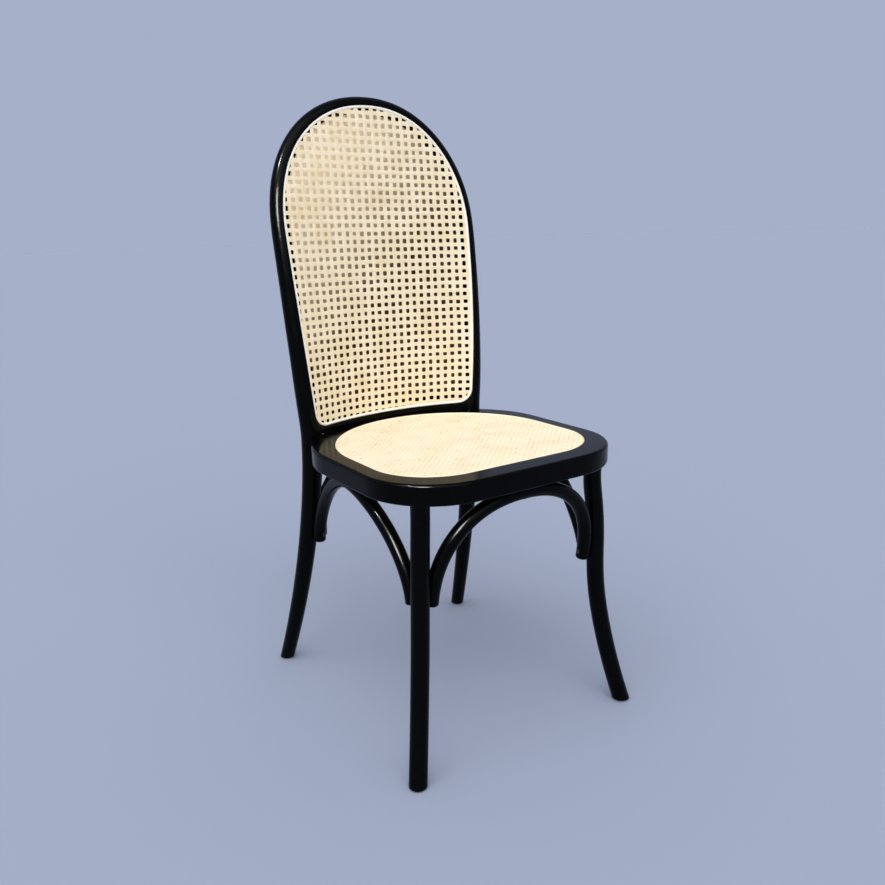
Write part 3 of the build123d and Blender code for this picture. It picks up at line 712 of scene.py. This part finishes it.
def painted_shade_weave():
    """Inner side of the rear sheet, seen through the front one's holes: painted shade and light.

    The eye gets a brown that is nearly black low on the right and fades to straw high on the left.
    This shade is painted into the colour along a slant, and the light that would fall between the
    two sheets and come through the thin weave from behind is painted as emission in the webbing's
    colour, strongest high on the left.
    """
    cane = bpy.context.scene.chair_cane
    # The inner side's colour is painted shade along a slant, dark low on the right and pale high on
    # the left, with a cloudy drift.
    sideways, dark_below, pale_above, cloudiness = 0.9, 0.66, 1.0, 0.3
    material, tree, shader = new_material("Inner side of the rear cane", {
        "Roughness": 0.7, "IOR": 1.5, "Specular IOR Level": 0.2, "Emission Color": cane.webbing,
    })
    place = add_node(tree, "ShaderNodeTexCoord").outputs["Object"]
    ways = add_node(tree, "ShaderNodeSeparateXYZ", {"Vector": place}).outputs
    left = add_node(tree, MATH, {"operation": "MULTIPLY", 0: ways["X"], 1: sideways})
    slant = add_node(tree, MATH, {"operation": "SUBTRACT", 0: ways["Z"], 1: left})
    fade = add_node(
        tree, "ShaderNodeMapRange",
        {"From Min": dark_below, "From Max": pale_above, "Value": slant},
    )
    cloud = add_node(
        tree, "ShaderNodeTexNoise", {"Scale": 90.0, "Detail": 3.0, "Vector": place},
    )
    drift = add_node(tree, MATH, {"operation": "SUBTRACT", 0: cloud.outputs["Fac"], 1: 0.5})
    drift = add_node(tree, MATH, {"operation": "MULTIPLY", 0: drift, 1: cloudiness})
    uneven = add_node(tree, MATH, {"operation": "ADD", 0: fade, 1: drift})
    share = add_node(tree, "ShaderNodeClamp", {"Value": uneven})
    shade = add_node(
        tree, MIX, {"data_type": "RGBA", 0: share, 6: cane.inner_painted_shade, 7: cane.webbing},
    )
    tree.links.new(shade.outputs[MIXED_COLOUR], shader.inputs["Base Color"])
    # Painted light: the inner side shines as emission in the webbing's colour, most where the
    # painted shade is palest.
    painted_glow = add_node(tree, MATH, {"operation": "MULTIPLY", 0: share, 1: cane.painted_glow})
    tree.links.new(painted_glow.outputs[0], shader.inputs["Emission Strength"])
    return material


def pressed_reed(name, colour):
    """Round reed, soaked and pressed into its groove, pale and a little glossy.

    The eye gets a near-white rim with fine fibres and a soft light along its crown. The fibres are
    drawn 2 mm apart, wider than real ones, so that they show.
    """
    cane = bpy.context.scene.chair_cane
    material, tree, shader = new_material(
        name, {"Roughness": 0.5, "IOR": 1.5, "Specular IOR Level": 0.2},
    )
    place = add_node(tree, "ShaderNodeTexCoord").outputs["Object"]
    fibre, cloud = (
        add_node(tree, "ShaderNodeTexNoise", {"Scale": scale, "Detail": detail, "Vector": place})
        for scale, detail in ((500.0, 3.0), (35.0, 2.0))
    )
    both = add_node(
        tree, MATH, {"operation": "ADD", 0: fibre.outputs["Fac"], 1: cloud.outputs["Fac"]},
    )
    mean = add_node(tree, MATH, {"operation": "MULTIPLY", 0: both, 1: 0.5})
    dark = add_node(
        tree, "ShaderNodeMapRange",
        {"From Min": 0.45, "From Max": 0.8, "To Max": 0.5, "Value": mean},
    )
    skin = add_node(
        tree, "ShaderNodeBump",
        {"Strength": 0.15, "Distance": 0.2 * MM, "Height": fibre.outputs["Fac"]},
    )
    coat(tree, shader, dark, colour, cane.webbing_dark_and_shade, skin)
    return material


def small_part(name, light, dark, scale, values):
    """A small part's finish: bumpy clouds of two near colours; scale is how many fit in a metre."""
    material, tree, shader = new_material(name, values)
    place = add_node(tree, "ShaderNodeTexCoord").outputs["Object"]
    noise = add_node(
        tree, "ShaderNodeTexNoise", {"Scale": scale, "Detail": 4.0, "Vector": place},
    )
    skin = add_node(
        tree, "ShaderNodeBump",
        {"Strength": 0.15, "Distance": 0.2 * MM, "Height": noise.outputs["Fac"]},
    )
    coat(tree, shader, noise.outputs["Fac"], linear(light), linear(dark), skin)
    return material


# ---------------------------------------------------------------- weaving


def uneven_holes(column, row, band, hole):
    """Moves, across and up, that give every hole sides of its own and blunt corners."""
    cane = bpy.context.scene.chair_cane
    mesh = band + hole
    chance = np.random.default_rng(HOLE_SEED)
    wander = chance.normal(
        0, cane.hole_unevenness, (MESH_COLUMNS + 2, MESH_ROWS + 2, HOLE_SIDES),
    )
    wander = np.clip(wander, -FARTHEST_WANDER, FARTHEST_WANDER)
    # The first line of a mesh is the last side of the hole before it.
    numbers, local = [], []
    for count in (column, row):
        first = count % mesh == 0
        numbers.append((count // mesh).astype(int) - first)
        local.append(np.where(first, mesh, count % mesh))
    sides = wander[numbers[0], numbers[1]]
    at_hole = (local[0] >= band) & (local[1] >= band)
    at_corner = np.isin(local[0], (band, mesh)) & np.isin(local[1], (band, mesh))
    moves = []
    for place, near, far in ((local[0], 0, 1), (local[1], 2, 3)):
        share = np.clip((place - band) / hole, 0, 1)
        move = sides[:, near] * (1 - share) + sides[:, far] * share
        move += cane.hole_room * (2 * share - 1)
        move += BLUNT_CORNER * at_corner * np.sign(0.5 - share)
        moves.append(at_hole * move)
    return moves


def band_relief(column, row, band, mesh):
    """Height of the bands, which are round across and cross over and under each other."""
    heights = []
    for count, along, turn in ((column, row, 1), (row, column, -1)):
        local = count % mesh
        crown = np.where(local <= band, np.sin(math.pi * local / band), 0)
        wave = turn * np.cos(math.pi * ((along - band / 2) / mesh + count // mesh))
        heights.append(crown * (LEVEL_SHARE + CROSSING_SHARE * wave))
    return bpy.context.scene.chair_cane.over_under * np.maximum(*heights)


def close_sheet(name, counts, step, node, face, tuck, thickness, place_of):
    """Weaves a close twill sheet on a surface and trims it to the rim of its CAD node's face."""
    cane = bpy.context.scene.chair_cane
    piece, column, row = grid_piece(name, *counts)
    across, up = (column - counts[0] / 2) * step, (row - counts[1] / 2) * step
    strands_across, strands_up = across / cane.close_pitch, up / cane.close_pitch
    ribs = 0.5 + 0.5 * np.cos(2 * math.pi * (strands_up - strands_across) / TWILL_REPEAT)
    swells = 0.5 + 0.5 * np.cos(math.pi * (strands_up + strands_across))
    relief = cane.close_relief * ((ribs - 1) + SWELL_SHARE * (swells - 1))
    places = place_of(across, up, relief)
    move_points(piece, places)
    out = beyond_rim(piece, places, node, *face, tuck)
    write_weave_map(piece, strands_across, strands_up)
    delete_faces(piece, out)
    thicken(piece, thickness)
    dress(piece, close_weave(), node)
    return piece


# ---------------------------------------------------------------- stage

# Metres and degrees, but the sensor is in millimetres and the shift in shares of the frame.
FLOOR_RADIUS, FLOOR_SIDES = 30, 96
LAMP_DISTANCE = 4
PANEL_AT, PANEL_AIM = Vector((-1.8, -1.5, 2.0)), Vector((0, 0, 0.8))
PANEL_WIDTH, PANEL_HEIGHT = 0.8, 0.9
CAMERA_AT = (-0.76084, -1.16637, 0.8111)
CAMERA_AZIMUTH, CAMERA_PITCH, CAMERA_ROLL = -32.84, 17.54, -1.79
CAMERA_SHIFT = (0.0102, 0.0473)
SENSOR_WIDTH = 36
SIGHT = 200


def towards(azimuth, elevation):
    """Unit vector from the chair to an azimuth from its front and an elevation, in degrees."""
    turn, lift = math.radians(azimuth), math.radians(elevation)
    return Vector(
        (math.sin(turn) * math.cos(lift), -math.cos(turn) * math.cos(lift), math.sin(lift))
    )


def lay_floor(paper_colour):
    """Lays the floor, a round of matt studio paper."""
    deselect()
    bpy.ops.mesh.primitive_circle_add(
        vertices=FLOOR_SIDES, radius=FLOOR_RADIUS, fill_type="TRIFAN", location=(0, 0, 0),
    )
    floor = bpy.context.active_object
    floor.name = "floor"
    # Studio paper: wholly matt, in one even colour, so the eye gets no surface at all.
    paper = new_material("Matt studio paper", {
        "Roughness": 0.9, "Specular IOR Level": 0.0, "Base Color": paper_colour,
    })[0]
    floor.data.materials.append(paper)


def hang_backdrop(stage):
    """Lights the scene softly from all sides and shows the eye and the gloss the backdrop."""
    world = bpy.data.worlds.new("Studio")
    bpy.context.scene.world = world
    world.use_nodes = True
    tree = world.node_tree
    tree.nodes.clear()
    path = add_node(tree, "ShaderNodeLightPath").outputs
    seen = path["Is Camera Ray"]
    for ray in ("Is Glossy Ray", "Is Transmission Ray"):
        seen = add_node(tree, MATH, {"operation": "MAXIMUM", 0: seen, 1: path[ray]})
    light = add_node(
        tree, "ShaderNodeBackground", {"Color": (1, 1, 1, 1), "Strength": stage.sky},
    )
    backdrop = add_node(
        tree, "ShaderNodeBackground", {"Color": stage.backdrop, "Strength": 1.0},
    )
    mix = add_node(tree, "ShaderNodeMixShader", {0: seen, 1: light, 2: backdrop})
    add_node(tree, "ShaderNodeOutputWorld", {"Surface": mix})


def hang_lamp(name, strength, azimuth, elevation, spread, matt_too=True):
    """Hangs a far lamp; one that isn't for matt surfaces only draws lights on the gloss."""
    lamp = bpy.data.lights.new(name, "SUN")
    lamp.energy = strength
    lamp.angle = math.radians(spread)
    holder = add_object(name, lamp)
    holder.location = towards(azimuth, elevation) * LAMP_DISTANCE
    holder.rotation_euler = towards(azimuth, elevation).to_track_quat("Z", "Y").to_euler()
    holder.visible_diffuse = matt_too


def hang_panel(power):
    """Hangs the panel that only draws lights along the lacquered rods."""
    panel = bpy.data.lights.new("panel_lamp", "AREA")
    panel.shape = "RECTANGLE"
    panel.size, panel.size_y = PANEL_WIDTH, PANEL_HEIGHT
    panel.energy = power
    holder = add_object("panel_lamp", panel)
    holder.location = PANEL_AT
    holder.rotation_euler = (PANEL_AT - PANEL_AIM).to_track_quat("Z", "Y").to_euler()
    holder.visible_camera = False
    holder.visible_diffuse = False


def place_camera(focal_length):
    """Puts the camera at the photograph's viewing angle, with its framing."""
    lens = bpy.data.cameras.new("camera")
    lens.sensor_width = SENSOR_WIDTH
    lens.lens = focal_length
    lens.shift_x, lens.shift_y = CAMERA_SHIFT
    lens.clip_end = SIGHT
    camera = add_object("camera", lens)
    back = towards(CAMERA_AZIMUTH, CAMERA_PITCH)
    level = towards(CAMERA_AZIMUTH + 90, 0)
    roll = math.radians(CAMERA_ROLL)
    right = level * math.cos(roll) + back.cross(level) * math.sin(roll)
    turned = Matrix((right, back.cross(right), back)).transposed()
    camera.matrix_world = Matrix.Translation(CAMERA_AT) @ turned.to_4x4()
    bpy.context.scene.camera = camera


# ---------------------------------------------------------------- operators


class CHAIR_OT_lacquer_wood(bpy.types.Operator):
    """Lacquer the hoop, rail, seat ring, front legs and braces"""

    bl_idname = "chair.lacquer_wood"
    bl_label = "Lacquer the Wood"

    def execute(self, context):
        finish_nodes(
            ("back_hoop", "back_bottom_rail", "seat_frame", "front_leg_left", "front_leg_right",
             "brace_front", "brace_rear", "brace_left", "brace_right"),
            lacquered_beech(),
        )
        return {"FINISHED"}


class CHAIR_OT_front_webbing(bpy.types.Operator):
    """Weave the open webbing on the front of the back"""

    bl_idname = "chair.front_webbing"
    bl_label = "Weave the Front Webbing"

    strands_to_a_band: IntProperty(
        name="Strands to a band", description="Strands in one band", default=4,
    )
    strands_to_a_hole: IntProperty(
        name="Strands to a hole", description="Width of a hole in strands", default=3,
    )

    def execute(self, context):
        cane = context.scene.chair_cane
        band, hole = self.strands_to_a_band, self.strands_to_a_hole
        mesh = band + hole
        piece, column, row = grid_piece("front_webbing", MESH_COLUMNS * mesh, MESH_ROWS * mesh)
        hole_middle = (band + hole / 2) / mesh
        shift = cane.mesh_shift - MESH_COLUMNS // 2 - hole_middle
        move_across, move_up = uneven_holes(column, row, band, hole)
        flat_across = (column / mesh + shift) * cane.mesh_across + move_across
        flat_up = (row / mesh + 1 - hole_middle) * cane.mesh_up + move_up - TURN_HEIGHT
        sine, cosine = math.sin(cane.mesh_turn), math.cos(cane.mesh_turn)
        across = flat_across * cosine - flat_up * sine
        height = cane.mesh_foot + TURN_HEIGHT + flat_across * sine + flat_up * cosine
        x, y = back_face(across, height, FRONT)
        y += WEBBING_SUNK - band_relief(column, row, band, mesh)
        places = np.column_stack((x, y, height))
        move_points(piece, places)

        out = beyond_rim(piece, places, "back_cane_front", Y, FRONT, BACK_TUCK)
        write_weave_map(piece, column, row)
        in_hole = [face_means(piece, count) % mesh > band for count in (column, row)]
        delete_faces(piece, out | (in_hole[0] & in_hole[1]))
        thicken(piece, WEBBING_THICKNESS)
        dress(piece, open_webbing(band, mesh), "back_cane_front")
        return {"FINISHED"}


class CHAIR_OT_rear_cane(bpy.types.Operator):
    """Weave the close sheet on the rear of the back"""

    bl_idname = "chair.rear_cane"
    bl_label = "Weave the Rear Sheet"

    def execute(self, context):
        lowest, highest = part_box("back_cane_rear")
        middle = (lowest[Z] + highest[Z]) / 2

        def place_of(across, up, relief):
            x, y = back_face(-across, middle + up, REAR)
            return np.column_stack((x, y + relief - REAR_SHEET_SUNK, middle + up))

        piece = close_sheet(
            "rear_close_cane", (180, 252), REAR_SHEET_STEP, "back_cane_rear", (Y, REAR),
            BACK_TUCK, REAR_THICKNESS, place_of,
        )
        # The faces that look inward, seen through the front webbing, get the painted shade and
        # painted light.
        piece.data.materials.append(painted_shade_weave())
        normals = np.empty(len(piece.data.polygons) * 3)
        piece.data.polygons.foreach_get("normal", normals)
        inner = normals.reshape(-1, 3)[:, Y] < INNER_NORMAL
        piece.data.polygons.foreach_set("material_index", inner.astype(int))
        return {"FINISHED"}


class CHAIR_OT_seat_cane(bpy.types.Operator):
    """Weave the close sheet of the seat"""

    bl_idname = "chair.seat_cane"
    bl_label = "Weave the Seat"

    def execute(self, context):
        lowest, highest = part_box("seat_cane")
        middle = (lowest[Y] + highest[Y]) / 2

        def place_of(across, up, relief):
            return np.column_stack((across, middle + up, highest[Z] + relief))

        close_sheet(
            "seat_close_cane", (186, 212), SEAT_SHEET_STEP, "seat_cane", (Z, UP), SEAT_TUCK,
            SEAT_THICKNESS, place_of,
        )
        return {"FINISHED"}


class CHAIR_OT_splines(bpy.types.Operator):
    """Press the reed splines round the seat and both faces of the back"""

    bl_idname = "chair.splines"
    bl_label = "Press the Splines"

    def execute(self, context):
        cane = context.scene.chair_cane
        back_reed = pressed_reed("Pressed reed of the back", cane.reed)
        seat_reed = pressed_reed("Pressed reed of the seat", cane.seat_reed)
        for node, axis, side, reed in (
            ("back_spline_front", Y, FRONT, back_reed),
            ("back_spline_rear", Y, REAR, back_reed),
            ("seat_spline", Z, UP, seat_reed),
        ):
            outer, inner = rims_of(node, axis, side)[:2]
            outer, inner = even_loop(outer, OUTER_STEP), even_loop(inner, INNER_STEP)
            nearest = [np.argmin(((inner - point) ** 2).sum(axis=1)) for point in outer]
            radius = np.linalg.norm(outer - inner[nearest], axis=1).mean() / 2
            path = (outer + inner[nearest]) / 2
            path[:, axis] -= side * REED_SUNK * radius
            path = (np.roll(path, 1, axis=0) + 2 * path + np.roll(path, -1, axis=0)) / 4
            dress(bead(node + "_reed", path, radius), reed, node)
        return {"FINISHED"}


class CHAIR_OT_small_parts(bpy.types.Operator):
    """Finish the dowels, wedges, screws, bolts, inserts and glides"""

    bl_idname = "chair.small_parts"
    bl_label = "Finish the Small Parts"

    def execute(self, context):
        # Bare beech: pale pinkish wood, sawn and sanded, with a dry matt face.
        beech = small_part(
            "Sanded beech", "D9B98C", "C39E6E", 260.0, {"Roughness": 0.65, "IOR": 1.5},
        )
        # Blackened steel: oil-black oxide on machined steel, dark and slightly glossy.
        steel = small_part(
            "Blackened steel", "4A4A4C", "2F3032", 700.0, {"Roughness": 0.38, "Metallic": 1.0},
        )
        # Turned brass: yellow metal with fine lathe marks.
        brass = small_part(
            "Turned brass", "D9B65C", "C09A45", 900.0, {"Roughness": 0.3, "Metallic": 1.0},
        )
        # Moulded polyethylene: black, slightly waxy, scuffed by the floor.
        plastic = small_part(
            "Moulded glide plastic", "121212", "1E1E1E", 500.0, {"Roughness": 0.5, "IOR": 1.51},
        )
        finish_nodes(("leg_wedges", "rail_dowels"), beech)
        finish_nodes(
            ("brace_leg_screws", "brace_seat_screws", "post_bolts", "post_washers", "glide_nails"),
            steel,
        )
        finish_nodes(("post_inserts",), brass)
        finish_nodes(
            ("glide_front_left", "glide_front_right", "glide_rear_left", "glide_rear_right"),
            plastic,
        )
        return {"FINISHED"}


class CHAIR_OT_stage(bpy.types.Operator):
    """Set the floor, the backdrop, the lamps and the camera"""

    bl_idname = "chair.stage"
    bl_label = "Set the Stage"

    def execute(self, context):
        stage = context.scene.chair_stage
        # Each lamp's name, strength, azimuth, elevation and spread, in degrees.
        soft_lamps = (
            ("key_lamp", stage.key, -62, 55, 60),
            ("front_lamp", stage.fill, -12, 40, 60),
        )
        # The paper reflects as much as makes the lit floor as bright as the backdrop behind it.
        lit = stage.sky + sum(
            strength * math.sin(math.radians(elevation)) / math.pi
            for _, strength, _, elevation, _ in soft_lamps
        )
        lay_floor((*(channel / lit for channel in stage.backdrop[:3]), 1))
        hang_backdrop(stage)
        for lamp in soft_lamps:
            hang_lamp(*lamp)
        hang_lamp("gloss_lamp", stage.gloss, -80, 52, 4, matt_too=False)
        hang_panel(stage.panel)
        place_camera(stage.focal_length)
        context.scene.view_settings.view_transform = "Standard"
        return {"FINISHED"}


class CHAIR_PT_sidebar(bpy.types.Panel):
    """Lists the chair's settings and its steps"""

    bl_label = "Bentwood Dining Chair"
    bl_idname = "CHAIR_PT_sidebar"
    bl_space_type = "VIEW_3D"
    bl_region_type = "UI"
    bl_category = "Chair"

    def draw(self, context):
        for title, settings in (
            ("Wood", context.scene.chair_wood),
            ("Cane", context.scene.chair_cane),
            ("Stage", context.scene.chair_stage),
        ):
            box = self.layout.box()
            box.label(text=title)
            for key in settings.__annotations__:
                box.prop(settings, key)
        for operator in OPERATORS:
            self.layout.operator(operator.bl_idname)


OPERATORS = (
    CHAIR_OT_lacquer_wood,
    CHAIR_OT_front_webbing,
    CHAIR_OT_rear_cane,
    CHAIR_OT_seat_cane,
    CHAIR_OT_splines,
    CHAIR_OT_small_parts,
    CHAIR_OT_stage,
)
CLASSES = (CHAIR_PG_wood, CHAIR_PG_cane, CHAIR_PG_stage) + OPERATORS + (CHAIR_PT_sidebar,)


def register():
    """Registers the settings, the operators and the panel."""
    for entry in CLASSES:
        bpy.utils.register_class(entry)
    bpy.types.Scene.chair_wood = PointerProperty(type=CHAIR_PG_wood)
    bpy.types.Scene.chair_cane = PointerProperty(type=CHAIR_PG_cane)
    bpy.types.Scene.chair_stage = PointerProperty(type=CHAIR_PG_stage)


def unregister():
    """Takes the settings, the operators and the panel away again."""
    del bpy.types.Scene.chair_wood
    del bpy.types.Scene.chair_cane
    del bpy.types.Scene.chair_stage
    for entry in reversed(CLASSES):
        bpy.utils.unregister_class(entry)


def main():
    """Builds the chair's looks and its stage."""
    register()
    bpy.ops.chair.lacquer_wood()
    bpy.ops.chair.front_webbing()
    bpy.ops.chair.rear_cane()
    bpy.ops.chair.seat_cane()
    bpy.ops.chair.splines()
    bpy.ops.chair.small_parts()
    bpy.ops.chair.stage()


if __name__ == "__main__":
    main()
